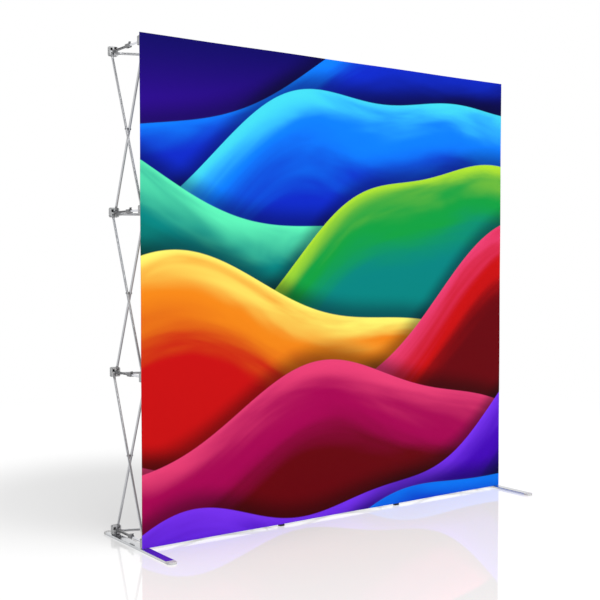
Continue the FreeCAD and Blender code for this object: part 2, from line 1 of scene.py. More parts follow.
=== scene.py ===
"""Looks of a pop-up display stand: printed fabric, scissor frame, locks, feet and studio.

Laid out as an add-on and run as a script. Metres, in the packed part's own frame:
X runs along the width, Y from front to back and Z up.
"""
import math
from collections import namedtuple

import bpy
from bpy.props import FloatProperty, FloatVectorProperty, IntProperty, PointerProperty
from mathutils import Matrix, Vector


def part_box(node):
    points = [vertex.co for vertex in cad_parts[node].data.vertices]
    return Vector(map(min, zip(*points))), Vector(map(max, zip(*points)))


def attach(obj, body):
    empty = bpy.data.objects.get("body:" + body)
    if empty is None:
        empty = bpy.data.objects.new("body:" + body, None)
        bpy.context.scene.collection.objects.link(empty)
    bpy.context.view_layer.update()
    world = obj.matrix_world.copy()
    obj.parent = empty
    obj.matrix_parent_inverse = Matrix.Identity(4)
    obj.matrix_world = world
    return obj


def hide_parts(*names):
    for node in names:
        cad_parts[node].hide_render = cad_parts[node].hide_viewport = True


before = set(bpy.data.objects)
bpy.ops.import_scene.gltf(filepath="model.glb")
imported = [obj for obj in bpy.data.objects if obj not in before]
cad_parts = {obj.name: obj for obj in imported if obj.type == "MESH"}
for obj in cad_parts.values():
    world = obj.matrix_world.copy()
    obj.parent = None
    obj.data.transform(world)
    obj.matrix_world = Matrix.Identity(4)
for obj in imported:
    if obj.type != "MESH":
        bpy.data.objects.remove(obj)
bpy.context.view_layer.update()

bl_info = {
    "name": "Pop-up display stand",
    "version": (1, 0, 0),
    "blender": (4, 5, 0),
    "location": "3D View > Sidebar > Stand",
    "description": "Finishes, fabric and studio of a pop-up display stand",
    "category": "Object",
}

FRAME_BODY = "frame"
COLUMNS = 4
ROWS = 4
TUBE_DIAMETER = 0.012

# Painted shade in a hub's slots: bare rim round its jaws, and how deep the painted shade in its slots starts
# and ends
HUB_RIM = 0.0015
RIM_FADE = (0.0003, 0.0012)
PAINTED_SHADE_START = (0.0005, 0.0040)
PAINTED_SHADE_END = (0.0172, 0.0160)

# Flow of the print: the small wave on each ribbon, as factors of the ribbon's own wave, and the silk
RIPPLE_TURNS = 2.6
RIPPLE_PHASE = 1.7
RIPPLE_SWELL = 0.22
SILK_ACROSS = 1.3
SILK_DOWN = 5.5
SILK_APART = 3.7
SILK_SWAY = 0.34

# How strongly the print shows through to the back of the cloth
GHOST = 0.25

# Studio: the key lamp, and the direction from which the front light comes
KEY_PLACE = (-0.5, -5.0, 6.0)
KEY_AIM = (0, 0, 0.9)
KEY_WIDTH = 5.0
KEY_HEIGHT = 4.0
FRONT_WAY = (-0.50, -0.83, 0.25)
# Painted shadow on the floor behind the stand: the floor's glow at its middle, and the reach over which the
# glow rises to full
FLOOR_GLOW_IN_PAINTED_SHADOW = 0.55
FLOOR_PAINTED_SHADOW_REACH = (0.5, 1.5)

Place = namedtuple("Place", "low high")
Ribbon = namedtuple("Ribbon", "level tilt swell turns phase crest body deep")

# Ribbons of the print from the back one to the front one. Levels, tilts and swells are in
# half heights of the fabric, turns in radians per half width.
RIBBONS = (
    Ribbon(0.98, 0.20, 0.16, 1.9, 0.4, "azure", "royal", "navy"),
    Ribbon(0.70, 0.34, 0.20, 2.3, 2.1, "cyan", "azure", "royal"),
    Ribbon(0.46, 0.05, 0.24, 1.7, 4.4, "mint", "teal", "forest"),
    Ribbon(0.20, 0.42, 0.17, 2.6, 0.9, "lime", "leaf", "teal"),
    Ribbon(-0.04, 0.12, 0.26, 1.8, 3.3, "lemon", "amber", "scarlet"),
    Ribbon(-0.30, 0.38, 0.20, 2.2, 5.3, "rose", "scarlet", "maroon"),
    Ribbon(-0.56, 0.02, 0.22, 2.0, 1.5, "rose", "magenta", "maroon"),
    Ribbon(-0.84, 0.30, 0.18, 2.4, 3.9, "violet", "purple", "navy"),
    Ribbon(-1.12, 0.08, 0.16, 2.1, 0.2, "azure", "royal", "navy"),
)


def box_of(node):
    """Lowest and highest corner of a packed node at rest."""
    low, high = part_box(node)
    return Place(Vector(low), Vector(high))


def tone(red, green, blue):
    """Linear colour of an 8-bit screen tone."""
    def linear(value):
        share = value / 255
        if share <= 0.04045:
            return share / 12.92
        return ((share + 0.055) / 1.055) ** 2.4
    return (linear(red), linear(green), linear(blue), 1.0)


def shade(base, factor):
    """A colour made lighter or darker by a factor."""
    return [min(1, channel * factor) for channel in base[:3]] + [1]


def evenly(low, high, count):
    """Count values from low to high."""
    return [low + (high - low) * n / (count - 1) for n in range(count)]


# Places read from the packed frame
FABRIC = box_of("fabric_graphic")
FRONT_HUBS = [box_of(f"front_hubs_column_{n + 1}") for n in range(COLUMNS)]
REAR_HUBS = box_of("rear_hubs_column_1")
HUB_SIZE = FRONT_HUBS[0].high.x - FRONT_HUBS[0].low.x
COLUMN_X = [(hub.low.x + hub.high.x) / 2 for hub in FRONT_HUBS]
ROW_Z = evenly(FRONT_HUBS[0].low.z + HUB_SIZE / 2, FRONT_HUBS[0].high.z - HUB_SIZE / 2, ROWS)
PITCH = COLUMN_X[1] - COLUMN_X[0]
FRONT_PIN_BOX = box_of("front_hub_pins")
REAR_PIN_BOX = box_of("rear_hub_pins")
FRONT_PIN_Y = (FRONT_PIN_BOX.low.y + FRONT_PIN_BOX.high.y) / 2
REAR_PIN_Y = (REAR_PIN_BOX.low.y + REAR_PIN_BOX.high.y) / 2
TUBE_SPREAD = box_of("row_1_tubes")


def size(name, description, default):
    """A length that a user may change."""
    return FloatProperty(name=name, description=description, default=default,
                         unit="LENGTH", subtype="DISTANCE", precision=4)


def colour(name, description, default):
    """A colour that a user may change."""
    return FloatVectorProperty(name=name, description=description, default=default,
                               size=4, subtype="COLOR", min=0, max=1)


def share(name, description, default):
    """A number from 0 to 1 that a user may change."""
    return FloatProperty(name=name, description=description, default=default,
                         min=0, max=1, subtype="FACTOR")


class FabricSizes(bpy.types.PropertyGroup):
    """Sizes of the fabric, its hem and its stitches."""

    width: size("Width", "Cut width of the fabric", FABRIC.high.x - FABRIC.low.x)
    height: size("Height", "Cut height of the fabric", FABRIC.high.z - FABRIC.low.z)
    cloth: size("Cloth", "Thickness of one layer", 0.0007)
    doubled: size("Doubled", "Thickness where the cloth is doubled", FABRIC.high.y - FABRIC.low.y)
    hem: size("Hem", "Width of the hem", 0.020)
    patch: size("Patch", "Side of the square doubled behind each hub", 0.060)
    step: size("Step", "Width of the step where a doubled layer ends", 0.0006)
    cell: size("Cell", "Widest cell of the sheet's mesh", 0.030)
    bow: size("Bow", "How far the cloth bows back in a bay", 0.0004)
    draw: size("Draw", "How far a free edge draws in between two hubs", 0.0010)
    stitch_length: size("Stitch", "Length of a stitch", 0.0032)
    stitch_pitch: size("Stitch pitch", "From one stitch to the next", 0.0044)
    thread: size("Thread", "Width of the sewing thread", 0.0006)
    seam_inset: size("Seam inset", "Seam from the doubled layer's edge", 0.003)
    weave: size("Weave", "Pitch of the knitted cloth", 0.0011)


class TubeSizes(bpy.types.PropertyGroup):
    """Sizes of the scissor tubes."""

    diameter: size("Diameter", "Outer diameter of a tube", TUBE_DIAMETER)
    setback: size("Setback", "Pin to the end of the tube", 0.016)
    pin_reach: size("Pin reach", "Pin from the hub axis", 0.013)
    offset: size("Offset", "Tube's axis from the hub axis",
                 (TUBE_SPREAD.high.z - TUBE_SPREAD.low.z - TUBE_DIAMETER) / 2)
    groove_place: size("Groove place", "Rolled groove from the tube's end", 0.009)
    groove_width: size("Groove width", "Width of the rolled groove", 0.0024)
    groove_depth: size("Groove depth", "Depth of the rolled groove", 0.0005)
    rounding: size("Rounding", "Rounded edge at the tube's end", 0.0005)
    sides: IntProperty(name="Sides", description="Sides of a tube's mesh", default=28, min=8)


class PrintColours(bpy.types.PropertyGroup):
    """Colours of the print."""

    violet: colour("Violet", "Light violet", tone(122, 52, 246))
    purple: colour("Purple", "Deep purple", tone(70, 0, 190))
    navy: colour("Navy", "Darkest blue", tone(2, 2, 92))
    royal: colour("Royal", "Royal blue", tone(8, 40, 196))
    azure: colour("Azure", "Bright blue", tone(6, 124, 252))
    cyan: colour("Cyan", "Bright cyan", tone(66, 216, 236))
    teal: colour("Teal", "Blue green", tone(0, 132, 128))
    forest: colour("Forest", "Dark green", tone(0, 84, 58))
    leaf: colour("Leaf", "Full green", tone(14, 158, 64))
    mint: colour("Mint", "Pale green", tone(96, 246, 186))
    lime: colour("Lime", "Yellow green", tone(178, 226, 48))
    lemon: colour("Lemon", "Pale yellow", tone(252, 246, 112))
    amber: colour("Amber", "Orange", tone(244, 136, 22))
    scarlet: colour("Scarlet", "Full red", tone(202, 12, 14))
    maroon: colour("Maroon", "Dark red", tone(104, 0, 10))
    rose: colour("Rose", "Pink red", tone(238, 66, 120))
    magenta: colour("Magenta", "Deep pink", tone(170, 0, 84))


class PartColours(bpy.types.PropertyGroup):
    """Colours of the frame, the locks and the feet."""

    hub: colour("Hub", "Grey of the hub mouldings", tone(200, 201, 202))
    eye: colour("Eye", "Grey of the tube ends", tone(160, 161, 163))
    lock: colour("Lock", "Dark grey of the lock arms", tone(138, 139, 141))
    tube: colour("Tube", "Aluminium of the tubes", tone(200, 201, 204))
    post: colour("Post", "Aluminium of the lock posts", tone(222, 223, 228))
    steel: colour("Steel", "Steel of pins and rivets", tone(176, 176, 178))
    foot: colour("Foot", "Aluminium of the feet", tone(204, 206, 209))
    cap: colour("Cap", "Light grey of the end caps", tone(214, 215, 215))
    pad: colour("Pad", "Black of the rubber pads", tone(40, 40, 42))
    cloth_back: colour("Cloth back", "Unprinted side of the fabric", tone(236, 236, 234))
    thread: colour("Thread", "Sewing thread", tone(226, 226, 224))
    loop: colour("Loop tape", "Loop tape behind the fabric", tone(224, 224, 222))
    hook: colour("Hook tape", "Hook tape on the hubs", tone(52, 52, 55))


class StudioLook(bpy.types.PropertyGroup):
    """Camera, floor and light."""

    camera_place: FloatVectorProperty(
        name="Camera", description="Place of the camera", size=3,
        default=(-3.2212, -4.141, 1.274), subtype="TRANSLATION", unit="LENGTH")
    camera_turn: FloatProperty(
        name="Turn", description="Camera's turn from the depth axis towards the width axis",
        default=math.radians(35.952), subtype="ANGLE")
    camera_dip: FloatProperty(
        name="Dip", description="Camera's dip below the horizon",
        default=math.radians(2.082), subtype="ANGLE")
    view_angle: FloatProperty(
        name="View angle", description="Camera's angle of view across the square picture",
        default=math.radians(32.226), subtype="ANGLE")
    floor_reach: size("Floor", "Half width of the floor", 40.0)
    floor_colour: colour("Floor colour", "Pale floor", tone(246, 246, 246))
    floor_gloss: share("Floor roughness", "Roughness of the polished floor", 0.03)
    floor_seen: colour("Floor seen", "Floor's colour to the camera, under its glow", tone(212, 212, 212))
    floor_glow: colour("Floor glow", "What the floor adds to its colour for the camera", tone(168, 168, 168))
    # Middle of the painted shadow on the floor, where the floor glows least
    floor_painted_shadow: FloatVectorProperty(
        name="Floor painted shadow", description="Where the floor glows least", size=3,
        default=(-0.7, 1.0, 0), subtype="TRANSLATION", unit="LENGTH")
    floor_near: size("Floor near", "Where the floor starts to run out into white", 1.8)
    floor_far: size("Floor far", "Where the floor is all white", 5.0)
    sky_light: share("Sky light", "Strength of the light from all round", 0.50)
    left_light: share("Left light", "Light from the left, as a share of the light from the right", 0.30)
    front_light: share("Front light", "Light that comes from the camera's side as well", 0.75)
    back_light: share("Back light", "Light that comes from behind as well", 0.30)
    front_gloss: share("Front gloss", "How light metal sees the studio in front", 0.16)
    key_power: FloatProperty(name="Key light", description="Power of the key light",
                             default=260, unit="POWER")


class Socket:
    """An output whose numbers can be used in plain expressions."""

    def __init__(self, nodes, output):
        self.nodes = nodes
        self.output = output

    def also(self, name):
        """Another output of the same node."""
        return Socket(self.nodes, self.output.node.outputs[name])

    def maths(self, operation, first, second=0.0):
        """One sum, product or the like of two numbers or outputs."""
        return self.nodes.add("ShaderNodeMath", {"operation": operation}, {0: first, 1: second})

    def __add__(self, other):
        return self.maths("ADD", self, other)

    def __radd__(self, other):
        return self.maths("ADD", other, self)

    def __sub__(self, other):
        return self.maths("SUBTRACT", self, other)

    def __rsub__(self, other):
        return self.maths("SUBTRACT", other, self)

    def __mul__(self, other):
        return self.maths("MULTIPLY", self, other)

    def __rmul__(self, other):
        return self.maths("MULTIPLY", other, self)

    def __truediv__(self, other):
        return self.maths("DIVIDE", self, other)

    def __neg__(self):
        return self.maths("MULTIPLY", self, -1.0)

    def sine(self):
        return self.maths("SINE", self)

    def largest(self, other):
        return self.maths("MAXIMUM", self, other)

    def rise(self, start, end):
        """0 up to start, 1 from end, smooth between them. Start may be the larger."""
        return self.nodes.add(
            "ShaderNodeMapRange", {"interpolation_type": "SMOOTHSTEP"},
            {"Value": self, "From Min": start, "From Max": end})


class Nodes:
    """A node tree, and the one way in which nodes are added to it."""

    def __init__(self, tree):
        self.tree = tree

    def add(self, kind, settings=None, sockets=None, output=0):
        """Add a node: its settings first, then the values or links of its sockets."""
        made = self.tree.nodes.new(kind)
        for name, value in (settings or {}).items():
            setattr(made, name, value)
        for key, value in (sockets or {}).items():
            self.feed(made.inputs[key], value)
        return Socket(self, made.outputs[output])

    def feed(self, socket, value):
        """Link an output to a socket, or set the socket's own value."""
        if isinstance(value, Socket):
            self.tree.links.new(value.output, socket)
        else:
            socket.default_value = value


class Finish(Nodes):
    """A material with one shader, and the nodes that vary it over the surface."""

    COLOUR_A = 6
    COLOUR_B = 7
    COLOUR_OUT = 2

    def __init__(self, name, constants):
        self.material = bpy.data.materials.new(name)
        self.material.use_nodes = True
        super().__init__(self.material.node_tree)
        self.tree.nodes.clear()
        self.shader = self.tree.nodes.new("ShaderNodeBsdfPrincipled")
        self.exit = self.tree.nodes.new("ShaderNodeOutputMaterial")
        self.tree.links.new(self.shader.outputs[0], self.exit.inputs["Surface"])
        self.place = self.add("ShaderNodeTexCoord", output="Object")
        self.set(constants)

    def set(self, values):
        """Set or link the shader's sockets."""
        for name, value in values.items():
            self.feed(self.shader.inputs[name], value)

    def mix(self, factor, first, second, blend="MIX"):
        """Two colours mixed by a factor."""
        return self.add("ShaderNodeMix", {"data_type": "RGBA", "blend_type": blend},
                        {0: factor, self.COLOUR_A: first, self.COLOUR_B: second}, self.COLOUR_OUT)

    def scaled(self, vector, factors):
        """A vector with each axis scaled by its own factor."""
        return self.add("ShaderNodeVectorMath", {"operation": "MULTIPLY"}, {0: vector, 1: factors})

    def noise(self, density, detail=2.0, vector=None):
        """Noise from 0 to 1 with so many waves per metre, along all axes or along each one."""
        if not isinstance(density, tuple):
            density = (density, density, density)
        return self.add("ShaderNodeTexNoise", None,
                        {"Vector": self.scaled(vector or self.place, density),
                         "Scale": 1.0, "Detail": detail})

    def bump(self, height, depth, strength=1.0):
        """Relief that feeds the shader's normal."""
        normal = self.add("ShaderNodeBump", None,
                          {"Strength": strength, "Distance": depth, "Height": height})
        self.set({"Normal": normal})

    def axes(self, vector=None):
        """The three numbers of a vector, by default of the place on the object."""
        x = self.add("ShaderNodeSeparateXYZ", None, {0: vector or self.place})
        return x, x.also("Y"), x.also("Z")


class Repeat(Nodes):
    """A geometry tree with named inputs that is run on a base mesh and leaves a plain mesh."""

    def __init__(self, name):
        super().__init__(bpy.data.node_groups.new(name, "GeometryNodeTree"))
        self.tree.interface.new_socket("Geometry", in_out="INPUT", socket_type="NodeSocketGeometry")
        self.tree.interface.new_socket("Geometry", in_out="OUTPUT", socket_type="NodeSocketGeometry")
        self.entry = self.tree.nodes.new("NodeGroupInput")
        self.leave = self.tree.nodes.new("NodeGroupOutput")
        self.inputs = {}
        self.base = Socket(self, self.entry.outputs["Geometry"])

    def input(self, name, kind="NodeSocketFloat"):
        """A named input of the tree."""
        self.inputs[name] = self.tree.interface.new_socket(name, in_out="INPUT", socket_type=kind)
        return Socket(self, self.entry.outputs[name])

    def close(self, geometry, material):
        """End the tree in plain geometry with its material."""
        real = self.add("GeometryNodeRealizeInstances", None, {"Geometry": geometry})
        dressed = self.add("GeometryNodeSetMaterial", None, {"Geometry": real, "Material": material})
        self.tree.links.new(dressed.output, self.leave.inputs["Geometry"])

    def run(self, name, base, values):
        """Run the tree on a base mesh and keep the result as a plain mesh."""
        piece = linked(name, base)
        modifier = piece.modifiers.new(self.tree.name, "NODES")
        modifier.node_group = self.tree
        for label, value in values.items():
            modifier[self.inputs[label].identifier] = value
        evaluated = piece.evaluated_get(bpy.context.evaluated_depsgraph_get())
        made = bpy.data.meshes.new_from_object(evaluated)
        piece.modifiers.remove(modifier)
        piece.data = made
        made.name = name
        return piece


def linked(name, mesh):
    """A new object at the origin of the scene."""
    piece = bpy.data.objects.new(name, mesh)
    bpy.context.scene.collection.objects.link(piece)
    return piece


def dress(material, *nodes):
    """Give packed nodes a finish."""
    for name in nodes:
        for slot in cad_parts[name].material_slots:
            slot.material = material


def smooth_rims(mesh, angle=35.0):
    """Smooth shading that keeps edges sharper than an angle in degrees."""
    mesh.shade_smooth()
    mesh.set_sharp_from_angle(angle=math.radians(angle))


def keep(piece, replaced=()):
    """Fix a piece to the frame's body."""
    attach(piece, FRAME_BODY)
    if replaced:
        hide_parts(*replaced)


# Finishes


def moulded_finish(name, base, roughness, painted_slot_shade=None):
    """Moulded plastic with a fine eroded grain and faint flow marks, and painted shade in its slots and
    sockets where a mask is given.
    """
    finish = Finish(name, {"Specular IOR Level": 0.45})
    flow = finish.noise(34, 3.0)
    spots = finish.noise(900, 2.0)
    light = finish.mix(flow, shade(base, 0.90), shade(base, 1.08))
    if painted_slot_shade:
        # Painted shade: the masked slots and sockets are darkened towards 12 percent of the base colour
        light = finish.mix(painted_slot_shade(finish) * 0.85, light, shade(base, 0.12))
    finish.set({"Base Color": light, "Roughness": roughness - 0.08 + 0.16 * spots})
    finish.bump(finish.noise(1700, 3.0), 0.00012, 0.5)
    return finish.material


def hub_painted_slot_shade(finish):
    """Mask of painted shade: 1 on the walls and floors of the hubs' slots and sockets, 0 on their outsides.
    """
    x, y, z = finish.axes()
    sides = []
    for place, first in ((x, COLUMN_X[0]), (z, ROW_Z[0])):
        from_axis = finish.add("ShaderNodeMath", {"operation": "WRAP"},
                               {0: place - first, 1: PITCH / 2, 2: -PITCH / 2})
        sides.append(from_axis.largest(-from_axis))
    jaw = HUB_SIZE / 2 - HUB_RIM
    within = sides[0].largest(sides[1]).rise(jaw - RIM_FADE[0], jaw - RIM_FADE[1])
    middle = (FRONT_HUBS[0].high.y + REAR_HUBS.low.y) / 2
    from_middle = (y - middle).largest(middle - y)
    depth = from_middle - (REAR_HUBS.low.y - FRONT_HUBS[0].high.y) / 2
    return within * depth.rise(*PAINTED_SHADE_START) * depth.rise(*PAINTED_SHADE_END)


def metal_finish(name, base, roughness, draw, spread=0.10):
    """Drawn or turned metal, with fine lines across the axes that have many waves per metre."""
    finish = Finish(name, {"Metallic": 1.0})
    lines = finish.noise(draw, 4.0)
    cloud = finish.noise(11, 2.0)
    light = finish.mix(lines * 0.6 + cloud * 0.4, shade(base, 0.86), shade(base, 1.06))
    finish.set({"Base Color": light, "Roughness": roughness - spread / 2 + spread * lines})
    finish.bump(lines, 0.00004, 0.35)
    return finish.material


def tube_finish(base):
    """Drawn aluminium tube whose lines follow the tube."""
    finish = Finish("drawn_tube_aluminium", {"Metallic": 1.0})
    section = finish.add("ShaderNodeAttribute", {"attribute_name": "section"}, None, "Vector")
    lines = finish.noise(26, 5.0, section)
    cloud = finish.noise(9, 2.0)
    light = finish.mix(lines * 0.5 + cloud * 0.5, shade(base, 0.84), shade(base, 1.08))
    finish.set({"Base Color": light, "Roughness": 0.22 + 0.12 * lines})
    finish.bump(lines, 0.00005, 0.3)
    return finish.material


def tape_finish(name, base, density, height):
    """Hook or loop tape: a dense field of small tufts, with painted shade in the gaps between them."""
    finish = Finish(name, {"Roughness": 0.9, "Specular IOR Level": 0.2, "Sheen Weight": 0.3})
    tufts = finish.add("ShaderNodeTexVoronoi", {"feature": "F1"},
                       {"Vector": finish.place, "Scale": density}, "Distance")
    # Painted shade: darker away from the middle of each tuft, in the gaps between tufts
    finish.set({"Base Color": finish.mix(tufts.rise(0.1, 0.7), base, shade(base, 0.55))})
    finish.bump(1.0 - tufts, height)
    return finish.material


def thread_finish(base):
    """Twisted sewing thread, with painted shade in the grooves of its twist."""
    finish = Finish("sewing_thread", {"Roughness": 0.65, "Sheen Weight": 0.2})
    x, _, z = finish.axes()
    twist = ((x + z) * 9000.0).sine() * 0.5 + 0.5
    # Painted shade: darker stripes along the grooves of the twist
    finish.set({"Base Color": finish.mix(twist, shade(base, 0.8), base)})
    return finish.material


def rubber_finish(base):
    """Matt rubber with a worn bloom."""
    finish = Finish("pad_rubber_black", {"Specular IOR Level": 0.3})
    bloom = finish.noise(70, 4.0)
    finish.set({"Base Color": finish.mix(bloom, base, shade(base, 1.8)),
                "Roughness": 0.65 + 0.25 * bloom})
    finish.bump(finish.noise(1400, 2.0), 0.0001, 0.6)
    return finish.material


def print_colours(finish, colours, sizes):
    """Flowing ribbons of colour, each one over the one behind it."""
    x, _, z = finish.axes()
    across = x / (sizes.width / 2)
    up = (z - (FABRIC.low.z + FABRIC.high.z) / 2) / (sizes.height / 2)
    painted = finish.mix(up.rise(0.2, 1.1), tuple(colours.purple), tuple(colours.navy))
    for number, ribbon in enumerate(RIBBONS):
        swing = (across * ribbon.turns + ribbon.phase).sine() * ribbon.swell
        small = (across * (ribbon.turns * RIPPLE_TURNS) + ribbon.phase * RIPPLE_PHASE).sine()
        ripple = small * (ribbon.swell * RIPPLE_SWELL)
        edge = across * ribbon.tilt + swing + ripple + ribbon.level
        below = edge - up
        flow = finish.add("ShaderNodeCombineXYZ", None,
                          {0: across * SILK_ACROSS, 1: below * SILK_DOWN, 2: SILK_APART * number})
        silk = finish.add("ShaderNodeTexNoise", None,
                          {"Vector": flow, "Scale": 1.0, "Detail": 3.0, "Roughness": 0.45,
                           "Distortion": 0.6})
        depth = below + (silk - 0.5) * SILK_SWAY
        fill = finish.mix(depth.rise(-0.03, 0.17), tuple(getattr(colours, ribbon.crest)),
                          tuple(getattr(colours, ribbon.body)))
        fill = finish.mix(depth.rise(0.16, 0.42), fill, tuple(getattr(colours, ribbon.deep)))
        gleam = below.rise(0.030, 0.004) * 0.5
        fill = finish.mix(gleam, fill, tuple(getattr(colours, ribbon.crest)))
        shadow = below.rise(-0.11, 0.0) * 0.62
        shaded = finish.mix(shadow, painted, tuple(colours.navy), "MULTIPLY")
        painted = finish.mix(below.rise(0.0, 0.005), shaded, fill)
    return painted


def fabric_finish(colours, parts, sizes):
    """Knitted display cloth, printed in front and plain behind, with painted shade of the knit on the plain
    back.
    """
    finish = Finish("printed_display_cloth", {"Specular IOR Level": 0.06})
    x, _, z = finish.axes()
    turns = 2 * math.pi / sizes.weave
    wale = (x * turns).sine()
    course = (z * turns + wale * 0.9).sine()
    knit = (wale * course) * 0.5 + 0.5
    printed = finish.add("ShaderNodeAttribute", {"attribute_name": "printed"}, None, "Fac")
    cloud = finish.noise(6, 3.0)
    back = tuple(parts.cloth_back)
    # Plain back: partly random tone, partly painted shade between the knit's loops
    plain = finish.mix(cloud * 0.5 + knit * 0.5, shade(back, 0.93), back)
    picture = print_colours(finish, colours, sizes)
    finish.set({"Base Color": finish.mix(printed * (1 - GHOST) + GHOST, plain, picture),
                "Roughness": 0.52 + 0.10 * knit})
    finish.bump(knit, 0.00008, 0.35)
    return finish.material


# Fabric


def grid_lines(low, high, edges, step, cell):
    """Mesh lines from low to high, with two close lines at every edge of a doubled layer."""
    marks = {low, high}
    for edge in edges:
        for line in (edge - step / 2, edge + step / 2):
            if low < line < high:
                marks.add(line)
    marks = sorted(marks)
    lines = []
    for start, end in zip(marks, marks[1:]):
        count = max(1, math.ceil((end - start) / cell))
        lines += evenly(start, end, count + 1)[:-1]
    return lines + [high]


def bay_wave(value, first):
    """0 at every hub and 1 midway between two hubs."""
    return math.sin(math.pi * (value - first) / PITCH) ** 2


class FabricShape:
    """Where the cloth is doubled, and how it hangs between the hubs."""

    def __init__(self, sizes):
        self.sizes = sizes
        half = sizes.patch / 2
        self.hem_x = (FABRIC.low.x + sizes.hem, FABRIC.high.x - sizes.hem)
        self.hem_z = (FABRIC.low.z + sizes.hem, FABRIC.high.z - sizes.hem)
        self.patch_x = [edge for x in COLUMN_X for edge in (x - half, x + half)]
        self.patch_z = [edge for z in ROW_Z for edge in (z - half, z + half)]

    def doubled(self, x, z):
        """True in the hem and in the squares behind the hubs."""
        half = self.sizes.patch / 2
        in_hem = not (self.hem_x[0] < x < self.hem_x[1] and self.hem_z[0] < z < self.hem_z[1])
        by_column = any(abs(x - middle) < half for middle in COLUMN_X)
        by_row = any(abs(z - middle) < half for middle in ROW_Z)
        return in_hem or (by_column and by_row)

    def hang(self, x, z, back):
        """Place of a point of the sheet, on its printed face or on its back."""
        column_wave = bay_wave(x, COLUMN_X[0])
        row_wave = bay_wave(z, ROW_Z[0])
        y = FABRIC.low.y + self.sizes.bow * max(column_wave, row_wave)
        if back:
            y += self.sizes.doubled if self.doubled(x, z) else self.sizes.cloth
        side = 2 * x / self.sizes.width
        rise = 2 * (z - FABRIC.low.z) / self.sizes.height - 1
        x -= self.sizes.draw * row_wave * side ** 9
        z -= self.sizes.draw * column_wave * rise ** 9
        return Vector((x, y, z))

    def mesh(self):
        """The closed sheet, with 1 in its printed attribute on the front and 0 behind."""
        sizes = self.sizes
        columns = grid_lines(FABRIC.low.x, FABRIC.high.x, [*self.hem_x, *self.patch_x],
                             sizes.step, sizes.cell)
        rows = grid_lines(FABRIC.low.z, FABRIC.high.z, [*self.hem_z, *self.patch_z],
                          sizes.step, sizes.cell)
        points = [self.hang(x, z, back) for back in (False, True) for z in rows for x in columns]
        wide = len(columns)
        layer = wide * len(rows)
        faces = []
        for j in range(len(rows) - 1):
            for i in range(wide - 1):
                corner = j * wide + i
                front = (corner, corner + 1, corner + wide + 1, corner + wide)
                faces.append(front)
                faces.append(tuple(point + layer for point in reversed(front)))
        rim = (list(range(wide))
               + [j * wide + wide - 1 for j in range(1, len(rows))]
               + [layer - 1 - i for i in range(1, wide)]
               + [j * wide for j in range(len(rows) - 2, 0, -1)])
        for start, end in zip(rim, rim[1:] + rim[:1]):
            faces.append((end, start, start + layer, end + layer))
        mesh = bpy.data.meshes.new("printed_fabric_sheet")
        mesh.from_pydata(points, [], faces)
        printed = mesh.attributes.new("printed", "FLOAT", "FACE")
        for index, face in enumerate(faces):
            printed.data[index].value = 1.0 if max(face) < layer else 0.0
        return mesh

    def rectangle(self, low_x, high_x, low_z, high_z, back):
        """Corners of a seam, in points close enough to follow the cloth."""
        count = 1 + math.ceil(max(high_x - low_x, high_z - low_z) / self.sizes.cell)
        xs = evenly(low_x, high_x, count)
        zs = evenly(low_z, high_z, count)
        path = ([(x, low_z) for x in xs[:-1]] + [(high_x, z) for z in zs[:-1]]
                + [(x, high_z) for x in reversed(xs[1:])] + [(low_x, z) for z in reversed(zs[1:])])
        return [self.hang(x, z, back) for x, z in path]

    def hem_seams(self, back):
        """The two rows of stitches round the hem."""
        inset = self.sizes.seam_inset
        loops = []
        for inward in (inset, self.sizes.hem - inset):
            loops.append(self.rectangle(FABRIC.low.x + inward, FABRIC.high.x - inward,
                                        FABRIC.low.z + inward, FABRIC.high.z - inward, back))
        return loops

    def patch_seams(self, back):
        """One row of stitches round the doubled square behind each hub."""
        reach = self.sizes.patch / 2 - self.sizes.seam_inset / 2
        loops = []
        for x in COLUMN_X:
            for z in ROW_Z:
                loops.append(self.rectangle(max(x - reach, FABRIC.low.x + self.sizes.seam_inset),
                                            min(x + reach, FABRIC.high.x - self.sizes.seam_inset),
                                            max(z - reach, FABRIC.low.z + self.sizes.seam_inset),
                                            min(z + reach, FABRIC.high.z - self.sizes.seam_inset), back))
        return loops


def loops_mesh(name, loops):
    """Closed lines as a mesh of edges."""
    points = []
    edges = []
    for loop in loops:
        first = len(points)
        points += loop
        edges += [(first + n, first + (n + 1) % len(loop)) for n in range(len(loop))]
    mesh = bpy.data.meshes.new(name)
    mesh.from_pydata(points, edges, [])
    return mesh


def stitch_tree():
    """Tree that lays stitches along closed lines."""
    tree = Repeat("stitch_rows")
    length = tree.input("Stitch length")
    pitch = tree.input("Stitch pitch")
    thread = tree.input("Thread width")
    printed = tree.input("Printed")
    material = tree.input("Thread material", "NodeSocketMaterial")
    path = tree.add("GeometryNodeMeshToCurve", None, {"Mesh": tree.base})
    steps = tree.add("GeometryNodeResampleCurve", {"mode": "LENGTH"}, {"Curve": path, "Length": pitch})
    along = tree.add("GeometryNodeInputTangent")
    turn = tree.add("FunctionNodeAlignRotationToVector", {"axis": "X"}, {"Vector": along})
    bead = tree.add("GeometryNodeMeshIcoSphere", None, {"Radius": 0.5, "Subdivisions": 1})
    shape = tree.add("ShaderNodeCombineXYZ", None, {0: length, 1: thread, 2: thread})
    stitch = tree.add("GeometryNodeTransform", None, {"Geometry": bead, "Scale": shape})
    rows = tree.add("GeometryNodeInstanceOnPoints", None,
                    {"Points": steps, "Instance": stitch, "Rotation": turn})
    real = tree.add("GeometryNodeRealizeInstances", None, {"Geometry": rows})
    marked = tree.add("GeometryNodeStoreNamedAttribute", {"data_type": "FLOAT", "domain": "POINT"},
                      {"Geometry": real, "Name": "printed", "Value": printed})
    smooth = tree.add("GeometryNodeSetShadeSmooth", None, {"Geometry": marked})
    tree.close(smooth, material)
    return tree


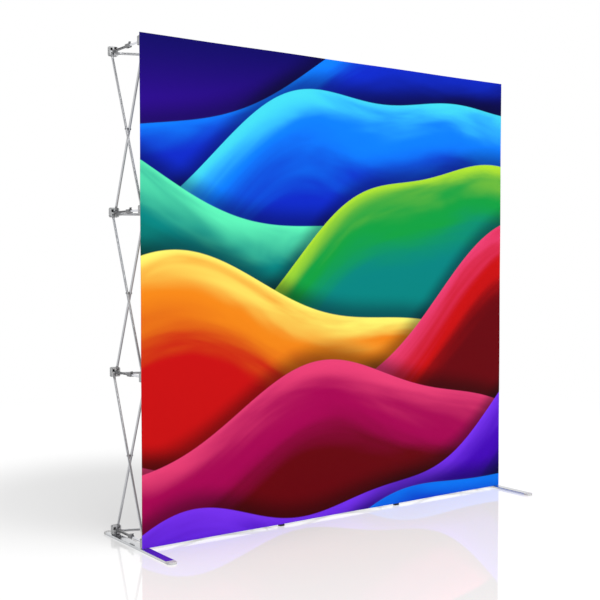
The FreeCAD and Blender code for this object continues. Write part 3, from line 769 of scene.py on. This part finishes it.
class STAND_OT_fabric(bpy.types.Operator):
    """Make the printed fabric with its hem, its doubled squares and their stitches"""

    bl_idname = "stand.fabric"
    bl_label = "Printed fabric"

    def execute(self, context):
        sizes = context.scene.stand_fabric
        parts = context.scene.stand_parts
        cloth = fabric_finish(context.scene.stand_print, parts, sizes)
        thread = thread_finish(tuple(parts.thread))
        shape = FabricShape(sizes)
        sheet = linked("printed_fabric_sheet", shape.mesh())
        sheet.data.materials.append(cloth)
        smooth_rims(sheet.data)
        keep(sheet, ["fabric_graphic"])
        tree = stitch_tree()
        seams = (("front_hem_stitches", shape.hem_seams(False), cloth, 1.0),
                 ("back_hem_stitches", shape.hem_seams(True), thread, 0.0),
                 ("patch_stitches", shape.patch_seams(True), thread, 0.0))
        for name, loops, material, printed in seams:
            stitches = tree.run(name, loops_mesh(name, loops),
                                {"Stitch length": sizes.stitch_length, "Stitch pitch": sizes.stitch_pitch,
                                 "Thread width": sizes.thread, "Printed": printed,
                                 "Thread material": material})
            keep(stitches)
        dress(tape_finish("loop_tape_pile", tuple(parts.loop), 1500, 0.0004), "loop_patches")
        dress(tape_finish("hook_tape_stubs", tuple(parts.hook), 900, 0.0006), "hook_patches")
        return {"FINISHED"}


# Scissor frame


def row_tubes(row, sizes):
    """Pins of the six tubes of one row."""
    z = ROW_Z[row]
    pins = []
    for left_hub, right_hub in zip(COLUMN_X, COLUMN_X[1:]):
        left = left_hub + sizes.pin_reach
        right = right_hub - sizes.pin_reach
        upper = z + sizes.offset
        lower = z - sizes.offset
        pins.append((Vector((left, FRONT_PIN_Y, upper)), Vector((right, REAR_PIN_Y, upper))))
        pins.append((Vector((left, REAR_PIN_Y, lower)), Vector((right, FRONT_PIN_Y, lower))))
    return pins


def column_tubes(column, sizes):
    """Pins of the six tubes of one column."""
    x = COLUMN_X[column]
    pins = []
    for low_hub, high_hub in zip(ROW_Z, ROW_Z[1:]):
        low = low_hub + sizes.pin_reach
        high = high_hub - sizes.pin_reach
        left = x - sizes.offset
        right = x + sizes.offset
        pins.append((Vector((left, FRONT_PIN_Y, low)), Vector((left, REAR_PIN_Y, high))))
        pins.append((Vector((right, REAR_PIN_Y, low)), Vector((right, FRONT_PIN_Y, high))))
    return pins


def tube_stations(length, sizes):
    """Distance along a tube and girth there: rounded ends and a rolled groove near each end."""
    radius = sizes.diameter / 2
    waist = 1 - sizes.groove_depth / radius
    half = sizes.groove_width / 2
    end = [(0, 1 - sizes.rounding / radius), (sizes.rounding, 1)]
    for place, girth in ((-1.4, 1), (-0.6, (1 + waist) / 2), (-0.3, waist), (0.3, waist),
                         (0.6, (1 + waist) / 2), (1.4, 1)):
        end.append((sizes.groove_place + place * half, girth))
    return end + [(length - place, girth) for place, girth in reversed(end)]


def tubes_mesh(name, pins, sizes):
    """Axes of tubes as edges, with the girth at every point."""
    points = []
    edges = []
    girths = []
    for start, end in pins:
        along = (end - start).normalized()
        first = start + along * sizes.setback
        length = (end - start).length - 2 * sizes.setback
        stations = tube_stations(length, sizes)
        edges += [(len(points) + n, len(points) + n + 1) for n in range(len(stations) - 1)]
        points += [first + along * place for place, _ in stations]
        girths += [girth for _, girth in stations]
    mesh = bpy.data.meshes.new(name)
    mesh.from_pydata(points, edges, [])
    girth = mesh.attributes.new("girth", "FLOAT", "POINT")
    girth.data.foreach_set("value", girths)
    return mesh


def tube_tree():
    """Tree that sweeps a round section along tube axes, with the girth of each point."""
    tree = Repeat("drawn_tubes")
    radius = tree.input("Tube radius")
    sides = tree.input("Tube sides", "NodeSocketInt")
    material = tree.input("Tube material", "NodeSocketMaterial")
    axis = tree.add("GeometryNodeMeshToCurve", None, {"Mesh": tree.base})
    girth = tree.add("GeometryNodeInputNamedAttribute", {"data_type": "FLOAT"}, {"Name": "girth"})
    section = tree.add("GeometryNodeCurvePrimitiveCircle", None, {"Resolution": sides, "Radius": radius})
    place = tree.add("GeometryNodeInputPosition")
    unit = tree.add("ShaderNodeVectorMath", {"operation": "NORMALIZE"}, {0: place})
    marked = tree.add("GeometryNodeStoreNamedAttribute",
                      {"data_type": "FLOAT_VECTOR", "domain": "POINT"},
                      {"Geometry": section, "Name": "section", "Value": unit})
    swept = tree.add("GeometryNodeCurveToMesh", None,
                     {"Curve": axis, "Profile Curve": marked, "Scale": girth, "Fill Caps": True})
    tree.close(swept, material)
    return tree


class STAND_OT_tubes(bpy.types.Operator):
    """Make the drawn scissor tubes along the rows and up the columns"""

    bl_idname = "stand.tubes"
    bl_label = "Scissor tubes"

    def execute(self, context):
        sizes = context.scene.stand_tubes
        material = tube_finish(tuple(context.scene.stand_parts.tube))
        tree = tube_tree()
        groups = [(f"row_{n + 1}_tubes", row_tubes(n, sizes)) for n in range(ROWS)]
        groups += [(f"column_{n + 1}_tubes", column_tubes(n, sizes)) for n in range(COLUMNS)]
        for node, pins in groups:
            name = f"drawn_{node}"
            tubes = tree.run(name, tubes_mesh(name, pins, sizes),
                             {"Tube radius": sizes.diameter / 2, "Tube sides": sizes.sides,
                              "Tube material": material})
            smooth_rims(tubes.data)
            keep(tubes, [node])
        return {"FINISHED"}


class STAND_OT_hubs(bpy.types.Operator):
    """Finish the hubs, the eyes of the tubes, the pins and the rivets"""

    bl_idname = "stand.hubs"
    bl_label = "Hubs and pins"

    def execute(self, context):
        parts = context.scene.stand_parts
        hubs = [f"{layer}_hubs_column_{n + 1}" for layer in ("front", "rear") for n in range(COLUMNS)]
        dress(moulded_finish("hub_moulding_grey", tuple(parts.hub), 0.46, hub_painted_slot_shade), *hubs)
        dress(moulded_finish("eye_moulding_grey", tuple(parts.eye), 0.42),
              "row_tube_ends", "column_tube_ends", "left_foot_tongues", "right_foot_tongues")
        steel = metal_finish("pin_steel_bright", tuple(parts.steel), 0.26, 420)
        dress(steel, "row_rivets", "column_rivets", "row_rivet_spacers", "column_rivet_spacers",
              "front_hub_pins", "rear_hub_pins", "lock_hinge_pins",
              "left_foot_screws", "right_foot_screws")
        return {"FINISHED"}


class STAND_OT_locks(bpy.types.Operator):
    """Finish the lock arms, their brackets and their posts"""

    bl_idname = "stand.locks"
    bl_label = "Locks"

    def execute(self, context):
        parts = context.scene.stand_parts
        arms = [f"lock_arm_column_{i + 1}_row_{j + 1}" for i in range(COLUMNS) for j in range(ROWS)]
        dress(moulded_finish("lock_moulding_dark", tuple(parts.lock), 0.40), "lock_brackets", *arms)
        dress(metal_finish("post_aluminium_turned", tuple(parts.post), 0.20, (30, 2600, 30)), "lock_posts")
        return {"FINISHED"}


class STAND_OT_feet(bpy.types.Operator):
    """Finish the feet with their caps, and the pads under the bottom hubs"""

    bl_idname = "stand.feet"
    bl_label = "Feet"

    def execute(self, context):
        parts = context.scene.stand_parts
        bar = metal_finish("foot_aluminium_satin", tuple(parts.foot), 0.16, (1500, 5, 1500), 0.08)
        dress(bar, "left_foot_bar", "right_foot_bar")
        dress(moulded_finish("cap_moulding_light", tuple(parts.cap), 0.40),
              "left_foot_caps", "right_foot_caps")
        dress(rubber_finish(tuple(parts.pad)), "hub_ground_pads")
        return {"FINISHED"}


# Studio


def seen_rays(nodes):
    """1 for rays of the camera, and 1 for rays of gloss and glass."""
    camera = nodes.add("ShaderNodeLightPath", output="Is Camera Ray")
    return camera, camera.also("Is Glossy Ray").largest(camera.also("Is Transmission Ray"))


def floor_finish(look):
    """Polished pale floor that keeps the shadow, glows least in a painted shadow behind the stand, and runs
    out into white.
    """
    finish = Finish("studio_floor", {"Roughness": look.floor_gloss, "Specular IOR Level": 0.35,
                                     "Emission Strength": 1.0})
    camera, gloss = seen_rays(finish)
    seen = camera.largest(gloss)
    # Painted shadow: the glow that the camera sees is least around a point behind the stand
    from_painted_shadow = finish.add("ShaderNodeVectorMath", {"operation": "DISTANCE"},
                           {0: finish.place, 1: tuple(look.floor_painted_shadow)}, "Value")
    glow = seen * (FLOOR_GLOW_IN_PAINTED_SHADOW + (1 - FLOOR_GLOW_IN_PAINTED_SHADOW) * from_painted_shadow.rise(*FLOOR_PAINTED_SHADOW_REACH))
    finish.set({"Base Color": finish.mix(seen, tuple(look.floor_colour), tuple(look.floor_seen)),
                "Emission Color": finish.mix(glow, (0, 0, 0, 1), tuple(look.floor_glow))})
    away = finish.add("ShaderNodeVectorMath", {"operation": "LENGTH"}, {0: finish.place}, "Value")
    white = finish.add("ShaderNodeEmission", None, {"Color": (1, 1, 1, 1), "Strength": 1.0})
    lit = Socket(finish, finish.shader.outputs[0])
    blend = finish.add("ShaderNodeMixShader", None,
                       {0: away.rise(look.floor_near, look.floor_far) * seen, 1: lit, 2: white})
    finish.tree.links.new(blend.output, finish.exit.inputs["Surface"])
    return finish.material


def soft_lamp(name, place, aim, width, height, power):
    """Large soft lamp that faces a point."""
    lamp = bpy.data.lights.new(name, "AREA")
    lamp.shape = "RECTANGLE"
    lamp.size = width
    lamp.size_y = height
    lamp.energy = power
    holder = linked(name, lamp)
    holder.location = place
    holder.rotation_euler = (Vector(aim) - Vector(place)).to_track_quat("-Z", "Y").to_euler()


def studio_world(look):
    """Light from all round, strongest from the camera's side, that the camera sees as white."""
    world = bpy.data.worlds.new("studio_world")
    bpy.context.scene.world = world
    world.use_nodes = True
    nodes = Nodes(world.node_tree)
    nodes.tree.nodes.clear()
    camera, gloss = seen_rays(nodes)
    towards = nodes.add("ShaderNodeTexCoord", output="Generated")
    right = nodes.add("ShaderNodeSeparateXYZ", None, {0: towards})
    back = right.also("Y")
    up = right.also("Z")
    side = look.left_light + right.rise(-0.95, 0.15) * (1 - look.left_light)
    front = (right * FRONT_WAY[0] + back * FRONT_WAY[1] + up * FRONT_WAY[2]).rise(0.50, 1.0)
    light = side * look.sky_light + front * look.front_light + back.rise(0.2, 1.0) * look.back_light
    white = back.rise(-0.35, 0.05).largest(up.rise(0.22, 0.02))
    mirrored = look.front_gloss + white * (1 - look.front_gloss)
    strength = camera.largest(gloss * mirrored + (1 - gloss) * light)
    shown = nodes.add("ShaderNodeBackground", None, {"Color": (1, 1, 1, 1), "Strength": strength})
    exit_node = nodes.tree.nodes.new("ShaderNodeOutputWorld")
    nodes.tree.links.new(shown.output, exit_node.inputs["Surface"])


class STAND_OT_studio(bpy.types.Operator):
    """Set up the floor, the light and the camera"""

    bl_idname = "stand.studio"
    bl_label = "Studio"

    def execute(self, context):
        look = context.scene.stand_studio
        reach = look.floor_reach
        mesh = bpy.data.meshes.new("studio_floor")
        mesh.from_pydata([(-reach, -reach, 0), (reach, -reach, 0), (reach, reach, 0), (-reach, reach, 0)],
                         [], [(0, 1, 2, 3)])
        mesh.materials.append(floor_finish(look))
        linked("studio_floor", mesh)
        studio_world(look)
        soft_lamp("key_lamp", KEY_PLACE, KEY_AIM, KEY_WIDTH, KEY_HEIGHT, look.key_power)
        camera = bpy.data.cameras.new("photo_camera")
        camera.sensor_fit = "HORIZONTAL"
        camera.sensor_width = 36.0
        camera.angle = look.view_angle
        holder = linked("photo_camera", camera)
        holder.location = look.camera_place
        level = math.cos(look.camera_dip)
        aim = Vector((math.sin(look.camera_turn) * level, math.cos(look.camera_turn) * level,
                      -math.sin(look.camera_dip)))
        holder.rotation_euler = aim.to_track_quat("-Z", "Y").to_euler()
        context.scene.camera = holder
        context.scene.view_settings.view_transform = "Standard"
        return {"FINISHED"}


class STAND_PT_sidebar(bpy.types.Panel):
    """The stand's pieces, sizes and colours"""

    bl_label = "Display stand"
    bl_idname = "STAND_PT_sidebar"
    bl_space_type = "VIEW_3D"
    bl_region_type = "UI"
    bl_category = "Stand"

    def draw(self, context):
        for operator in OPERATORS:
            self.layout.operator(operator.bl_idname)
        for name, group in GROUPS.items():
            box = self.layout.box()
            box.label(text=group.__doc__)
            for prop in group.__annotations__:
                box.prop(getattr(context.scene, name), prop)


GROUPS = {
    "stand_fabric": FabricSizes,
    "stand_tubes": TubeSizes,
    "stand_print": PrintColours,
    "stand_parts": PartColours,
    "stand_studio": StudioLook,
}
OPERATORS = (STAND_OT_fabric, STAND_OT_tubes, STAND_OT_hubs, STAND_OT_locks, STAND_OT_feet,
             STAND_OT_studio)


def register():
    for name, group in GROUPS.items():
        bpy.utils.register_class(group)
        setattr(bpy.types.Scene, name, PointerProperty(type=group))
    for operator in OPERATORS:
        bpy.utils.register_class(operator)
    bpy.utils.register_class(STAND_PT_sidebar)


def unregister():
    bpy.utils.unregister_class(STAND_PT_sidebar)
    for operator in reversed(OPERATORS):
        bpy.utils.unregister_class(operator)
    for name, group in reversed(GROUPS.items()):
        delattr(bpy.types.Scene, name)
        bpy.utils.unregister_class(group)


def main():
    register()
    bpy.ops.stand.fabric()
    bpy.ops.stand.tubes()
    bpy.ops.stand.hubs()
    bpy.ops.stand.locks()
    bpy.ops.stand.feet()
    bpy.ops.stand.studio()


if __name__ == "__main__":
    main()
